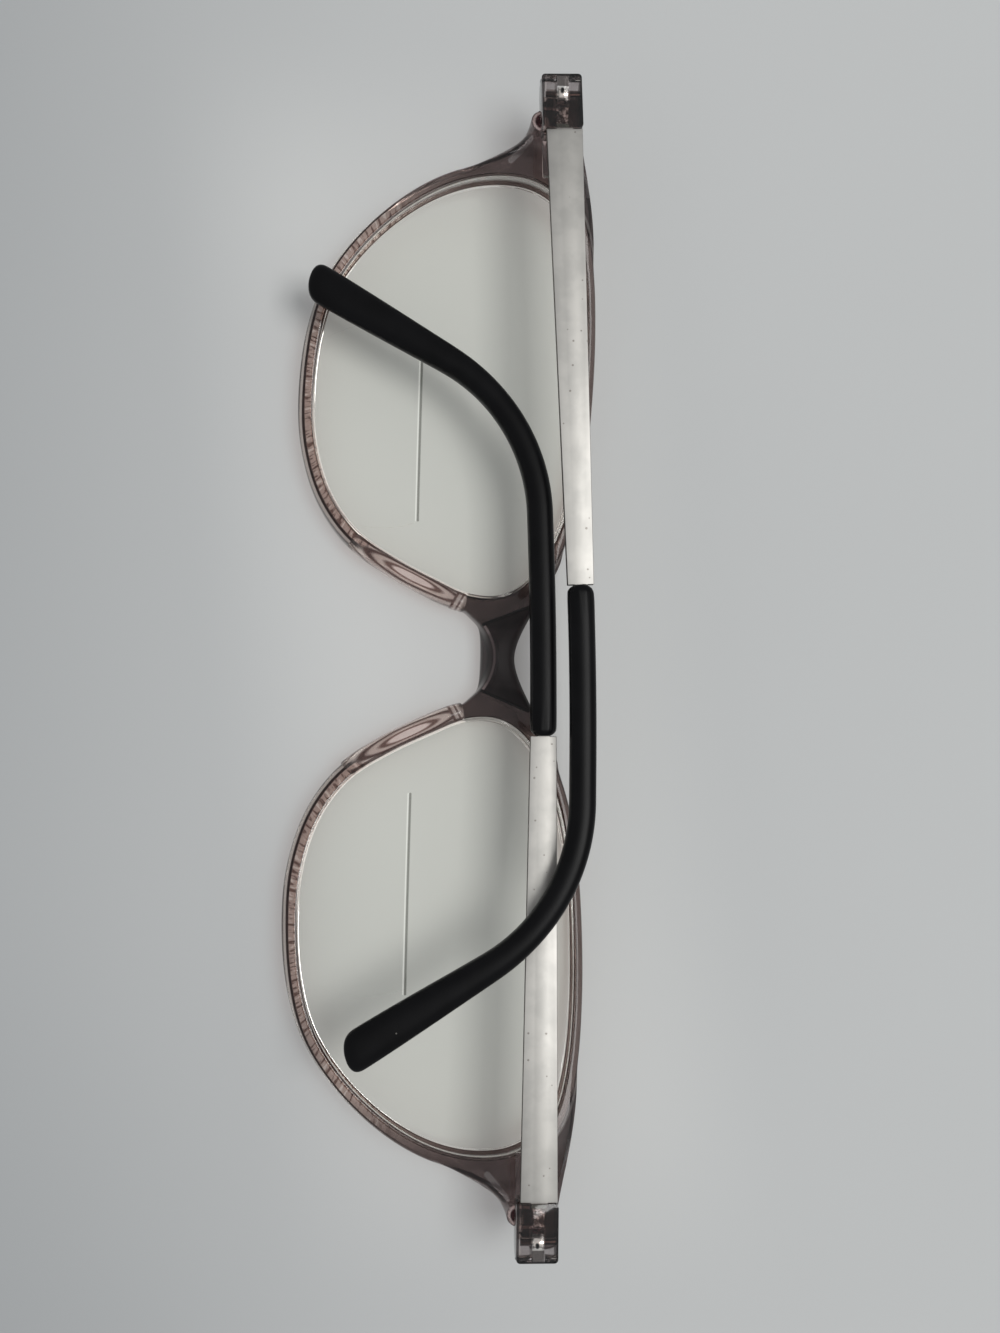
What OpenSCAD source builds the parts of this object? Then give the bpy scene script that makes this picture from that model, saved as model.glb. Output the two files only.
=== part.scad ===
// Cat eye eyeglasses, lying face down with both temples folded, the left one over the right one.
// x runs along the width with the wearer's left at minus x, y runs up to the brow, and z runs away from
// the table towards the wearer. The origin is on the table under the middle of the front.

/* [Front] */
// Width of one lens opening
eye_w = 51.2; // [46:0.2:56]
// Height of one lens opening
eye_h = 32.8; // [29:0.1:35]
// Narrowest distance between the two lens openings
bridge_gap = 14.8; // [13:0.2:19]
// Depth of the rims, front to back
rim_d = 3.9; // [3.8:0.1:4.6]
// Width of the rims where their drawn share is 1
rim_width = 2; // [1.8:0.1:2.4]
// How far the rims stand proud of the lens edge, at the front
rim_proud = 0.95; // [0.85:0.05:1]
// Height of the lens middles above the origin, towards the brow
eye_y = 0.35; // [-1:0.05:2]
// Height of the bridge at the middle
bridge_h = 4.2; // [3:0.1:6]
// Depth of the bridge at the middle
bridge_d = 4.4; // [3.5:0.1:5]
// Distance of the middle of the bridge below the top of the lens openings
bridge_drop = 10.05; // [9.6:0.05:10.5]
// Lift of the bridge over the table
bridge_lift = 1.25; // [0.9:0.05:1.6]
// How far the lower face of the bridge splays over its depth, for the nose
bridge_splay = 1.8; // [1:0.1:2.2]

/* [Lenses] */
// Radius of the front surface of the lenses
lens_r = 180; // [165:5:260]
// Thickness of the lenses at the middle
lens_t = 1.9; // [1.6:0.1:1.9]
// Turn of each lens away from the middle plane
face_form = 2.5; // [1:0.5:4]
// Depth of the groove that the lens edge sits in
groove = 0.6; // [0.4:0.05:0.8]
// Width of the reading segment
segment_w = 23.4; // [20:0.2:28]
// Shift of the reading segment towards the nose
segment_inset = 4.6; // [2:0.2:6]
// Height of the flat top of the reading segment above the origin
segment_y = -3.25; // [-6:0.05:-1]
// Radius of the round edge of the reading segment
segment_r = 12.6; // [12:0.1:15]
// Height of the ledge along the top of the reading segment
segment_ledge = 0.12; // [0.06:0.02:0.14]

/* [Hinges] */
// Distance from the middle plane to the outer faces of the posts
post_x = 67.7; // [64:0.1:72]
// Width of a post, from its outer face inwards
post_w = 4.7; // [4.2:0.1:5.4]
// Height of a post, along the hinge pin
post_h = 5.9; // [5.3:0.1:6.4]
// How far the middle of a post lies below its hinge
post_drop = 0.4; // [0.3:0.05:0.6]
// Width of the cut on the lower outer corner of a post
post_cut = 2; // [1.6:0.1:2.2]
// Distance of the hinge centres below the top of the lens openings
hinge_drop = 4.6; // [3:0.05:6]
// Height of the end faces of the posts above the table
post_top = 9.6; // [9:0.1:12]
// Pantoscopic tilt of the temples
panto = 2; // [0:0.5:6]
// Thickness of the butt blocks
block_t = 3.5; // [3.4:0.1:4]
// Length of the butt blocks
block_l = 6.5; // [6:0.1:8]
// Height of the butt blocks, along the hinge pin
block_h = 4.4; // [4:0.1:5]
// Distance from the hinge pin to the faces of a block that meet the post
pin_d = 2.2; // [2:0.05:2.25]
// Radius of the hinge pins
pin_r = 0.45; // [0.35:0.05:0.5]
// Outer radius of the eyes of the hinge leaves
eye_r = 0.95; // [0.85:0.05:0.95]
// Thickness of the hinge leaves
leaf_t = 1.2; // [1:0.1:1.4]
// Running clearance of the pins in the leaves
pin_clear = 0.05; // [0.03:0.01:0.08]
// Gap between moving faces of the hinges
hinge_gap = 0.1; // [0.08:0.01:0.15]

/* [Temples] */
// Distance from the left hinge pin to the start of the ear tip
left_seat = 58.4; // [50:0.2:64]
// Distance from the right hinge pin to the start of the ear tip
right_seat = 57; // [50:0.2:64]
// Height of the metal strip at the hinge
strip_h0 = 4.25; // [3.8:0.05:4.6]
// Height of the metal strip at the ear tip
strip_h1 = 3.05; // [2.6:0.05:3.4]
// Thickness of the metal strip
strip_t = 1; // [0.8:0.1:1.2]
// How far the strip lies below the outer face of its block
strip_set = 0.25; // [0.15:0.05:0.4]
// Distance from the hinge pin to the start of the ear bend
bend_start = 82.4; // [76:0.2:90]
// Radius of the ear bend
bend_r = 22; // [16:0.5:30]
// Angle of the ear bend
bend_a = 60.5; // [45:0.5:64]
// Length of the straight part after the bend
tail_l = 19; // [14:0.2:22]
// Height of the ear tip at its start
tip_h = 3.15; // [3:0.05:3.5]
// Thickness of the ear tip
tip_t = 3; // [2.4:0.1:3.2]
// Height of the paddle at the end of the ear tip
paddle_h = 4.6; // [3.6:0.1:5.4]
// Thickness of the paddle at the end of the ear tip
paddle_t = 2.4; // [2:0.1:2.8]
// Rise of the folded left temple over the right one
left_lie = 0.9; // [0.8:0.1:2]
// Fall of the folded right temple under the left one
right_lie = -2; // [-2.2:0.1:-1.8]
// Drift of the folded left temple towards the brow
left_rake = 3.1; // [2.5:0.1:3.5]
// Drift of the folded right temple towards the brow
right_rake = -0.5; // [-1:0.1:0.5]

/* [Nose pads] */
// Thickness of the pads over the outer wall of the rim
pad_t = 0.3; // [0.2:0.05:0.5]
// Thickness of the pads behind the rim
pad_back = 1.3; // [0.8:0.1:1.6]
// How far the pads lap round the outer wall of the rim
pad_lap = 1.7; // [1.2:0.1:2.2]

/* [Hidden] */
$fn = 64;

// Fit of a pin that turns with its bore, fit of seated faces, and gap between a post and its block
eps = 0.01;
seat = 0.03;
face_gap = 0.25;

// How far the ends of a pin lie inside the ends of its block
pin_short = 0.15;

// One stretch of the lens opening a row, round from the bottom by way of the temple side:
// its place as a share of half the opening, and the share of the rim's width there
EYE = [
    [-0.08, -1.00, 1.025], [0.20, -0.97, 0.975], [0.45, -0.86, 0.9], [0.66, -0.64, 0.85],
    [0.835, -0.345, 0.85], [0.95, -0.025, 0.9], [0.998, 0.305, 0.95], [0.97, 0.615, 0.95],
    [0.84, 0.85, 0.85], [0.605, 0.96, 0.725], [0.31, 1.00, 0.675], [0.0, 0.995, 0.675],
    [-0.31, 0.955, 0.7], [-0.605, 0.86, 0.8], [-0.85, 0.68, 0.95], [-0.98, 0.445, 1.1],
    [-0.985, 0.175, 1.08], [-0.915, -0.085, 1.125], [-0.825, -0.37, 1.075], [-0.705, -0.655, 1.05],
    [-0.525, -0.86, 1.025], [-0.305, -0.97, 1.025]
];
STEPS = 4;
RINGS = len(EYE) * STEPS;
eye_x = bridge_gap / 2 + eye_w / 2;
eye_top = eye_y + eye_h / 2;
bridge_y = eye_top - bridge_drop;
hinge_y = eye_top - hinge_drop;

// Where each lens surface is lowest, and the height of its middle above the table
lens_x0 = eye_x - lens_r * sin(face_form);
lens_z0 = rim_proud - (lens_r - sqrt(lens_r * lens_r - eye_h * eye_h / 4));
BACK_CURVE = 0.8;
lens_back_r = lens_r * BACK_CURVE;
lens_back_x = eye_x - lens_back_r * sin(face_form);

// Gap round the lens in its groove: beside its faces, and at its edge
lens_fit = 0.1;
lens_edge_fit = 0.08;
groove_front = rim_proud - lens_fit;
groove_rise = groove * (eye_x + eye_w / 2 - lens_x0) / lens_r;
groove_back = rim_proud + lens_edge(eye_x + eye_w / 2 + groove) + groove_rise + lens_fit;

// The stretch of rim that each end piece and the bridge grow out of, in rings
HORN = [22, 36];
NOSE = [54, 64];
HORN_STEPS = 9;
NOSE_STEPS = 9;

// The hinge pin, and the block and strip about it
hinge_x = post_x - (block_t - pin_d);
hinge_z = post_top + face_gap + pin_d;
block_out = block_t - pin_d;
block_in = block_l - pin_d;
block_soft = 0.45;
strip_top = block_out - strip_set;
strip_mid = strip_top - strip_t / 2;

// The strip's tongue in the block: its length, its half heights, and the length at each
tongue_l = 2.6;
tongue_h0 = 1;
tongue_h1 = 0.62;
tongue_wide = 0.7;
tongue_narrow = 1.43;

// The clear plate under the start of the strip, and how far it and the block reach out below the strip
plate_l = 5.3;
plate_t = 0.8;
plate_out = 0.35;
plate_end = 0.1;

// The strip's core in the ear tip
core_l = 22;
core_h = 1.5;

function mix(a, b, t) = a + (b - a) * t;
function ease(t) = t * t * (3 - 2 * t);
function spline(p, t) = 0.5 * (2 * p[1] + (p[2] - p[0]) * t
    + (2 * p[0] - 5 * p[1] + 4 * p[2] - p[3]) * t * t
    + (3 * p[1] - p[0] - 3 * p[2] + p[3]) * t * t * t);
function stretch(s) = let(i = floor(s)) spline([for (k = [-1:2]) EYE[(i + k + len(EYE)) % len(EYE)]], s - i);
function bezier(p, t) = let(q = 1 - t)
    q * q * q * p[0] + 3 * q * q * t * p[1] + 3 * q * t * t * p[2] + t * t * t * p[3];
function unit(v) = v / norm(v);

// Edge of the lens opening at a ring, its direction, and the direction outwards
function edge(ring) = let(p = stretch(ring / STEPS)) [eye_x + p[0] * eye_w / 2, eye_y + p[1] * eye_h / 2];
NEAR = 0.2;
function along(ring) = unit(edge(ring + NEAR) - edge(ring - NEAR));
function outward(ring) = let(t = along(ring)) [t[1], -t[0]];
function rim_w(ring) = stretch(ring / STEPS)[2] * rim_width;
function front_z(p) = lens_z0 + lens_r - sqrt(pow(lens_r, 2) - pow(p[0] - lens_x0, 2) - pow(p[1] - eye_y, 2));
function lens_edge(x) = lens_t + lens_back_r - sqrt(pow(lens_back_r, 2) - pow(x - lens_back_x, 2))
    - lens_r + sqrt(pow(lens_r, 2) - pow(x - lens_x0, 2));

// A point of the rim: so far out from the edge of the opening, and so far back from its front face
function rim_point(ring, out, back) =
    let(e = edge(ring), n = outward(ring))
    [e[0] + n[0] * out, e[1] + n[1] * out, front_z(e) - rim_proud + back];

// Section of the rim, from the front face round the outside and the back to the lens groove
rim_round = 0.7;
rim_lip = 0.2;
function rim_corner(w, a) = [w - rim_round * (1 - sin(a)), rim_round * (1 - cos(a))];
function section(w) = concat(
    [[rim_lip, 0]],
    [for (a = [0, 45, 90]) rim_corner(w, a)],
    [for (a = [90, 45, 0]) let(p = rim_corner(w, a)) [p[0], rim_d - p[1]]],
    [[rim_lip, rim_d], [0, rim_d - rim_lip], [0, groove_back], [groove, groove_back],
        [groove, groove_front], [0, groove_front], [0, rim_lip]]
);
SIDES = len(section(1));
FIRST = 1;
LAST = 6;
function rim_ring(ring) = [for (p = section(rim_w(ring))) rim_point(ring, p[0], p[1])];

// Round a patch of the rim's outer wall, between two rings: [ring, side] of each corner of the mesh
function patch(ends) = concat(
    [for (r = [ends[0]:ends[1]]) [r, FIRST]],
    [for (s = [FIRST + 1:LAST - 1]) [ends[1], s]],
    [for (r = [ends[1]:-1:ends[0]]) [r, LAST]],
    [for (s = [LAST - 1:-1:FIRST + 1]) [ends[0], s]]
);
// The same round as places on a square, from -1 to 1 along the rings and from front to back
function square(ends) = [for (c = patch(ends))
    [2 * (c[0] - ends[0]) / (ends[1] - ends[0]) - 1, 2 * (c[1] - FIRST) / (LAST - FIRST) - 1]];
// A square place pulled in at the corners
function soft(q, k) = [q[0] * (1 - k * pow(q[1], 6)), q[1] * (1 - k * pow(q[0], 6))];
function patch_start(c) = let(p = section(rim_w(c[0]))[c[1]]) rim_point(c[0], p[0], p[1]);

// Direction in which a form leaves the rim: along it at the ends of the patch, and square to it between
function leave(c, q, spread) =
    let(a = -spread * q[0], n = outward(c[0]), t = along(c[0]))
    [n[0] * cos(a) + t[0] * sin(a), n[1] * cos(a) + t[1] * sin(a), 0];

// A square place with its lower end made half round, from the place where the rounding starts
function half_round(q, start) =
    let(u = (-q[0] - start) / (1 - start))
    u < 0 ? q : [-start - u * sqrt(1 - q[1] * q[1] / 2) * (1 - start), q[1] * sqrt(1 - u * u / 2)];

// End face of a post, square to the tilted hinge pin: a soft rectangle with a half-round lower end, whose
// outer corner is cut back
POST_SOFT = 0.13;
CUT_END = 0.7;
post_round = (post_w - post_cut) / 2;
function post_place(q) = q[0] > 0 ? soft(q, POST_SOFT) : half_round(q, 1 - 2 * post_round / post_h);
function post_point(q) =
    let(s = post_place(q), y = s[0] * post_h / 2,
        cut = post_cut * ease(min(1, max(0, -s[0]) / CUT_END)) * (1 - s[1]) / 2)
    [post_x - (1 + s[1]) * post_w / 2 - cut, hinge_y - post_drop + y * cos(panto), post_top + y * sin(panto)];

// How far the end pieces and the bridge run on in the direction in which they leave the rim, and in which
// they meet the post and the middle: at the middle of the patch and at its ends, in front and at the back
HORN_SPREAD = 76;
horn_leave = [3, 7.4];
horn_meet = [6.6, 2.4];
NOSE_SPREAD = 55;
nose_leave = [1, 2.6];
nose_meet = [4.4, 3.4];
function pick(pair, share) = mix(pair[0], pair[1], share);
function depth_share(q) = (q[1] + 1) / 2;
function horn_ring(t) = [for (i = [0:len(patch(HORN)) - 1])
    let(c = patch(HORN)[i], q = square(HORN)[i], a = patch_start(c), z = post_point(q))
    bezier([a, a + leave(c, q, HORN_SPREAD) * pick(horn_leave, abs(q[0])),
        z - [0, 0, pick(horn_meet, depth_share(q))], z], t)];

// Middle section of the bridge, with its lower face splayed for the nose
BRIDGE_SOFT = 0.16;
function bridge_point(q) =
    let(s = soft(q, BRIDGE_SOFT))
    [0, bridge_y - s[0] * bridge_h / 2 + bridge_splay * depth_share(q) * max(0, q[0]),
        bridge_lift + depth_share(s) * bridge_d];
function nose_ring(t) = [for (i = [0:len(patch(NOSE)) - 1])
    let(c = patch(NOSE)[i], q = square(NOSE)[i], a = patch_start(c), z = bridge_point(q))
    bezier([a, a + leave(c, q, NOSE_SPREAD) * pick(nose_leave, abs(q[0])),
        z + [pick(nose_meet, depth_share(q)), 0, 0], z], t)];

// The front as one skin: both rims, with the walls of the end pieces and the bridge grown out of them
HORN_N = len(patch(HORN));
NOSE_N = len(patch(NOSE));
HORN_AT = RINGS * SIDES;
NOSE_AT = HORN_AT + HORN_STEPS * HORN_N;
HALF = NOSE_AT + (NOSE_STEPS - 1) * NOSE_N;
function half_points() = concat(
    [for (r = [0:RINGS - 1]) each rim_ring(r)],
    [for (k = [1:HORN_STEPS]) each horn_ring(k / HORN_STEPS)],
    [for (k = [1:NOSE_STEPS - 1]) each nose_ring(k / NOSE_STEPS)]
);
function rim_at(ring, side) = (ring % RINGS) * SIDES + (side % SIDES);
function inside(ring, side, ends) = ring >= ends[0] && ring < ends[1] && side >= FIRST && side < LAST;
function horn_at(k, i) = let(c = patch(HORN)[i % HORN_N])
    k == 0 ? rim_at(c[0], c[1]) : HORN_AT + (k - 1) * HORN_N + i % HORN_N;
function nose_at(k, i, middle) = let(c = patch(NOSE)[i % NOSE_N])
    k == 0 ? rim_at(c[0], c[1])
    : k == NOSE_STEPS ? middle + i % NOSE_N
    : NOSE_AT + (k - 1) * NOSE_N + i % NOSE_N;
function quad(a, b, c, d) = [[a, b, c], [a, c, d]];
function half_faces(middle) = concat(
    [for (r = [0:RINGS - 1], s = [0:SIDES - 1]) if (!inside(r, s, HORN) && !inside(r, s, NOSE))
        each quad(rim_at(r, s), rim_at(r, s + 1), rim_at(r + 1, s + 1), rim_at(r + 1, s))],
    [for (k = [0:HORN_STEPS - 1], i = [0:HORN_N - 1])
        each quad(horn_at(k, i), horn_at(k + 1, i), horn_at(k + 1, i + 1), horn_at(k, i + 1))],
    [for (k = [0:NOSE_STEPS - 1], i = [0:NOSE_N - 1])
        each quad(nose_at(k, i, middle), nose_at(k + 1, i, middle), nose_at(k + 1, i + 1, middle),
            nose_at(k, i + 1, middle))],
    cap_faces()
);
// The end face of the post: strips from its outer wall to its inner wall, and the two rounded ends
function cap_faces() =
    let(n = HORN[1] - HORN[0], top = HORN_STEPS, back = 2 * n + LAST - FIRST)
    concat(
        [for (i = [0:n - 1]) each quad(horn_at(top, i), horn_at(top, back - i), horn_at(top, back - i - 1),
            horn_at(top, i + 1))],
        [for (i = [1:LAST - FIRST - 1]) [horn_at(top, n), horn_at(top, n + i + 1), horn_at(top, n + i)]],
        [for (i = [0:LAST - FIRST - 2]) [horn_at(top, 0), horn_at(top, back + i + 1), horn_at(top, back + i)]]
    );
function flipped(p) = [-p[0], p[1], p[2]];
function turned(f) = [f[2], f[1], f[0]];
module front_skin() {
    right = half_points();
    middle = nose_ring(1);
    points = concat(right, [for (p = right) flipped(p)], middle);
    left_faces = [for (f = half_faces(HALF)) turned([for (i = f) i + HALF])];
    polyhedron(points, concat(half_faces(2 * HALF), left_faces), convexity = 10);
}

// Places the frame of one hinge: x out along the folded temple, y along the pin, z away from the table
module at_hinge(left) {
    mirror([left ? 1 : 0, 0, 0])
        translate([hinge_x, hinge_y, hinge_z])
            rotate([panto, 0, left ? -left_rake : -right_rake])
                children();
}
// The same, for what turns with the temple
module at_temple(left) {
    at_hinge(left)
        rotate([0, left ? left_lie : right_lie, 0])
            children();
}

module front() {
    color([0.42, 0.36, 0.36, 0.75])
        difference() {
            front_skin();
            for (left = [true, false])
                at_hinge(left)
                    leaf_anchor(seat);
        }
}

// Lens: the opening and its groove as a prism between two spheres
blank_drop = 2;
blank_h = 14;
module blank() {
    translate([0, 0, -blank_drop])
        linear_extrude(blank_h)
            children();
}
module lens_outline() {
    polygon([for (r = [0:RINGS - 1]) edge(r) + outward(r) * (groove - lens_edge_fit)]);
}
module lens_surface(x, y, z, r) {
    translate([x, y, z + r]) sphere(r = r, $fn = 200);
}

// The reading segment stands out by the ledge at its flat top, and sinks to almost nothing below
segment_foot = 0.01;
segment_slope = (segment_ledge - segment_foot) / (segment_y - eye_y + eye_h / 2);
segment_rise = segment_ledge + segment_slope * (eye_y - segment_y)
    + segment_slope * segment_slope * lens_r / 2;
// Its outline: a round, cut straight across its top
module segment_outline() {
    drop = sqrt(segment_r * segment_r - segment_w * segment_w / 4);
    translate([eye_x - segment_inset, segment_y])
        intersection() {
            translate([-segment_r, -3 * segment_r])
                square([2 * segment_r, 3 * segment_r]);
            translate([0, -drop])
                circle(r = segment_r);
        }
}
module lens() {
    color([0.86, 0.9, 0.88, 0.35])
        difference() {
            union() {
                intersection() {
                    blank() lens_outline();
                    lens_surface(lens_x0, eye_y, lens_z0, lens_r);
                }
                intersection() {
                    blank()
                        intersection() {
                            segment_outline();
                            lens_outline();
                        }
                    lens_surface(lens_x0, eye_y + segment_slope * lens_r, lens_z0 - segment_rise, lens_r);
                }
            }
            lens_surface(lens_back_x, eye_y, lens_z0 + lens_t, lens_back_r);
        }
}

// Clear saddle pad: it lies on the back of the rim and laps round its outer wall, with a squared end at the
// bridge and a tapered lower end. Its section runs from the lap round the outside and the back to the rim
PAD = [64.1, 75.8];
PAD_RINGS = 20;
pad_crown = 0.5;
PAD_SHOULDER = 0.6;
PAD_FLAT = 0.45;
PAD_THIN = [0.15, 0.5];
rim_chamfer = rim_corner(0, 45);
function pad_section(w, k) =
    let(out = w + seat, back = rim_d + seat, shoulder = rim_d + pad_back * k * PAD_SHOULDER)
    [
        [out, rim_d - pad_lap * k], [out + pad_t * k, rim_d - pad_lap * k], [out + pad_t * k, rim_d],
        [out, shoulder], [w - pad_crown, back + pad_back * k], [w * PAD_FLAT, back + pad_back * k],
        [rim_lip + seat, shoulder], [rim_lip, back], [w - rim_round, back],
        [out + rim_chamfer[0], back - rim_chamfer[1]], [out, rim_d - rim_round * k]
    ];
PAD_SIDES = len(pad_section(1, 1));
// Its hooked end face in triangles, by the places of the section
PAD_END = [
    [0, 1, 2], [0, 2, 10], [2, 9, 10], [2, 3, 9], [3, 8, 9], [3, 4, 8], [4, 5, 8], [5, 7, 8], [5, 6, 7]
];
// How much of its full section the pad has, from its end at the bridge, at 0, to its lower end, at 1
function pad_swell(t) =
    1 - PAD_THIN[0] * pow(max(0, 1 - 2 * t), 6) - PAD_THIN[1] * pow(max(0, 2 * t - 1), 2.4);
module nose_pad() {
    last = PAD_RINGS - 1;
    points = [for (i = [0:last])
        let(r = mix(PAD[0], PAD[1], i / last), k = pad_swell(i / last))
        each [for (p = pad_section(rim_w(r), k)) rim_point(r, p[0], p[1])]];
    walls = [for (i = [0:last - 1], s = [0:PAD_SIDES - 1])
        let(a = i * PAD_SIDES, b = a + PAD_SIDES, t = (s + 1) % PAD_SIDES)
        each quad(a + s, a + t, b + t, b + s)];
    ends = concat([for (f = PAD_END) turned(f)], [for (f = PAD_END) [for (i = f) last * PAD_SIDES + i]]);
    color([0.8, 0.72, 0.7, 0.6])
        polyhedron(points, concat(walls, ends), convexity = 6);
}

// Hinge leaf: an eye round the pin, on a stem whose foot is anchored in the post
stem_w = 1.5;
anchor_l = 3.6;
foot_h = 0.9;
foot_out = 0.4;
module rod(r, l) {
    rotate([90, 0, 0]) cylinder(r = r, h = l, center = true);
}
// A bar of the leaf between two heights, grown on all sides
module leaf_bar(out, z0, z1, grow) {
    w = stem_w / 2 + out + grow;
    translate([-w, -leaf_t / 2 - grow, z0 - grow])
        cube([2 * w, leaf_t + 2 * grow, z1 - z0 + 2 * grow]);
}
module leaf_anchor(grow) {
    foot = -pin_d - face_gap - anchor_l;
    leaf_bar(0, foot, 0, grow);
    leaf_bar(foot_out, foot, foot + foot_h, grow);
}
module leaf_shape() {
    difference() {
        union() {
            rod(eye_r, leaf_t);
            leaf_anchor(0);
        }
        rod(pin_r + pin_clear, leaf_t + 1);
    }
}
module hinge_leaf(left) {
    color([0.78, 0.77, 0.75])
        at_hinge(left) leaf_shape();
}
module hinge_pin(left) {
    color([0.85, 0.85, 0.85])
        at_temple(left) rod(pin_r, block_h - 2 * pin_short);
}

// Butt block: its side view has a round knuckle about the pin, and its plan has soft corners
module block_side() {
    polygon(concat(
        [[-block_in, block_out], [-block_in, -pin_d], [0, -pin_d]],
        [for (a = [-80:10:-10]) [pin_d * cos(a), pin_d * sin(a)]],
        [[pin_d, 0], [pin_d, block_out]]
    ));
}
module soft_corners(x0, x1, y0, y1, r) {
    polygon(concat(
        [for (a = [180:15:270]) [x0 + r + r * cos(a), y0 + r + r * sin(a)]],
        [for (a = [270:15:360]) [x1 - r + r * cos(a), y0 + r + r * sin(a)]],
        [for (a = [0:15:90]) [x1 - r + r * cos(a), y1 - r + r * sin(a)]],
        [for (a = [90:15:180]) [x0 + r + r * cos(a), y1 - r + r * sin(a)]]
    ));
}
// The tongue starts inside the strip, and is wide first and then narrow
module tongue_outline(grow) {
    root = -block_in - 1;
    wide = -block_in + tongue_wide;
    narrow = -block_in + tongue_narrow;
    end = -block_in + tongue_l + grow;
    h0 = tongue_h0 + grow;
    h1 = tongue_h1 + grow;
    polygon([[root, -h0], [wide, -h0], [narrow, -h1], [end, -h1],
        [end, h1], [narrow, h1], [wide, h0], [root, h0]]);
}
module block_body() {
    intersection() {
        translate([0, block_h / 2, 0])
            rotate([90, 0, 0])
                linear_extrude(block_h + plate_out) block_side();
        linear_extrude(2 * block_t, center = true)
            soft_corners(-block_in, pin_d, -block_h / 2 - plate_out, block_h / 2, block_soft);
    }
}
module block_plate() {
    translate([-block_in - plate_l, -block_h / 2 - plate_out, strip_top - strip_t - plate_t])
        cube([plate_l + block_l - plate_end, strip_h0, plate_t - seat]);
}
// Room for the leaf's eye and stem, open below and at the butt face
module leaf_slot() {
    reach = eye_r + hinge_gap;
    translate([-reach, -leaf_t / 2 - hinge_gap, -pin_d - 1])
        cube([reach + pin_d + 1, leaf_t + 2 * hinge_gap, pin_d + 1 + reach]);
}
module block_shape() {
    difference() {
        union() {
            block_body();
            block_plate();
        }
        leaf_slot();
        rod(pin_r + eps, block_h - 2 * pin_short + 2 * eps);
        translate([0, 0, strip_top - strip_t - seat])
            linear_extrude(strip_t + 2 * seat) tongue_outline(seat);
    }
}
module hinge_block(left) {
    color([0.36, 0.32, 0.31, 0.7])
        at_temple(left) block_shape();
}

// Metal strip: it tapers from the block to the ear tip, with a tongue in the one and a core in the other
function strip_end(left) = left ? left_seat : right_seat;
module strip_shape(end) {
    x0 = -block_in - seat;
    translate([0, 0, strip_top - strip_t])
        linear_extrude(strip_t)
            polygon([[x0, -strip_h0 / 2], [x0, strip_h0 / 2], [-end, strip_h1 / 2], [-end, core_h / 2],
                [-end - core_l, core_h / 2], [-end - core_l, -core_h / 2], [-end, -core_h / 2],
                [-end, -strip_h1 / 2]]);
    translate([0, 0, strip_top - strip_t])
        linear_extrude(strip_t) tongue_outline(0);
}
module temple_strip(left) {
    color([0.74, 0.73, 0.71])
        at_temple(left) strip_shape(strip_end(left));
}

// Ear tip: a soft section swept along a straight run, the ear bend and a straight tail that widens to the
// paddle, whose end is cut slanting
bend_l = bend_r * bend_a * PI / 180;
droop = 0.6;
paddle_l = 27;
paddle_slant = 0.27;
TIP_SIDES = 16;
END_SHARE = 0.42;
END_POWER = 2.6;
tip_round = paddle_h * END_SHARE;
tip_start = 0.5;
START_SHARE = 0.84;
FLAT_SHRINK = 0.75;
SOFT_POWER = 0.75;
function tip_l(end) = bend_start - end + bend_l + tail_l;
// Place and heading, s along the middle line from the start of the tip
function tip_line(s, end) =
    let(a = bend_start - end, b = s - a, turn = b / bend_r * 180 / PI)
    s < a ? [-end - s, -droop * pow(s / a, 2), 180]
    : b < bend_l ? [-bend_start - bend_r * sin(turn), -droop - bend_r * (1 - cos(turn)), 180 + turn]
    : [-bend_start - bend_r * sin(bend_a) - (b - bend_l) * cos(bend_a),
        -droop - bend_r * (1 - cos(bend_a)) - (b - bend_l) * sin(bend_a), 180 + bend_a];
// How far the tip has widened, from 0 to 1 over the last part of its length
function swell(s, end) = ease(max(0, (s - tip_l(end) + paddle_l) / paddle_l));
// The places of the rings: close at the rounded start and end, and even between
function tip_places(end) = concat(
    [for (a = [0:30:90]) tip_start * (1 - cos(a))],
    [for (i = [1:6]) mix(tip_start, bend_start - end, i / 6)],
    [for (i = [1:14]) bend_start - end + bend_l * i / 14],
    [for (i = [1:7]) mix(bend_start - end + bend_l, tip_l(end) - tip_round, i / 7)],
    [for (a = [18:18:72]) tip_l(end) - tip_round + tip_round * sin(a)],
    [tip_l(end) - tip_round * (1 - sin(84))]
);
// How much of its full section a ring has, at the soft start and the blunt end
function tip_shrink(s, end) =
    s < tip_start ? mix(START_SHARE, 1, sqrt(1 - pow(1 - s / tip_start, 2)))
    : s > tip_l(end) - tip_round
        ? pow(1 - pow((s - tip_l(end) + tip_round) / tip_round, END_POWER), 1 / END_POWER) : 1;
function tip_ring(s, end) =
    let(c = tip_line(s, end), w = swell(s, end), k = tip_shrink(s, end), kz = mix(1, k, FLAT_SHRINK),
        h = mix(tip_h, paddle_h, w) / 2 * k, t = mix(tip_t, paddle_t, w) / 2 * kz)
    [for (i = [0:TIP_SIDES - 1])
        let(a = 360 * (i + 0.5) / TIP_SIDES, across = soft_sign(cos(a)) * h, on = -across * paddle_slant * w)
        [c[0] - sin(c[2]) * across + cos(c[2]) * on, c[1] + cos(c[2]) * across + sin(c[2]) * on,
            strip_mid + soft_sign(sin(a)) * t]];
function soft_sign(v) = sign(v) * pow(abs(v), SOFT_POWER);
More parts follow.
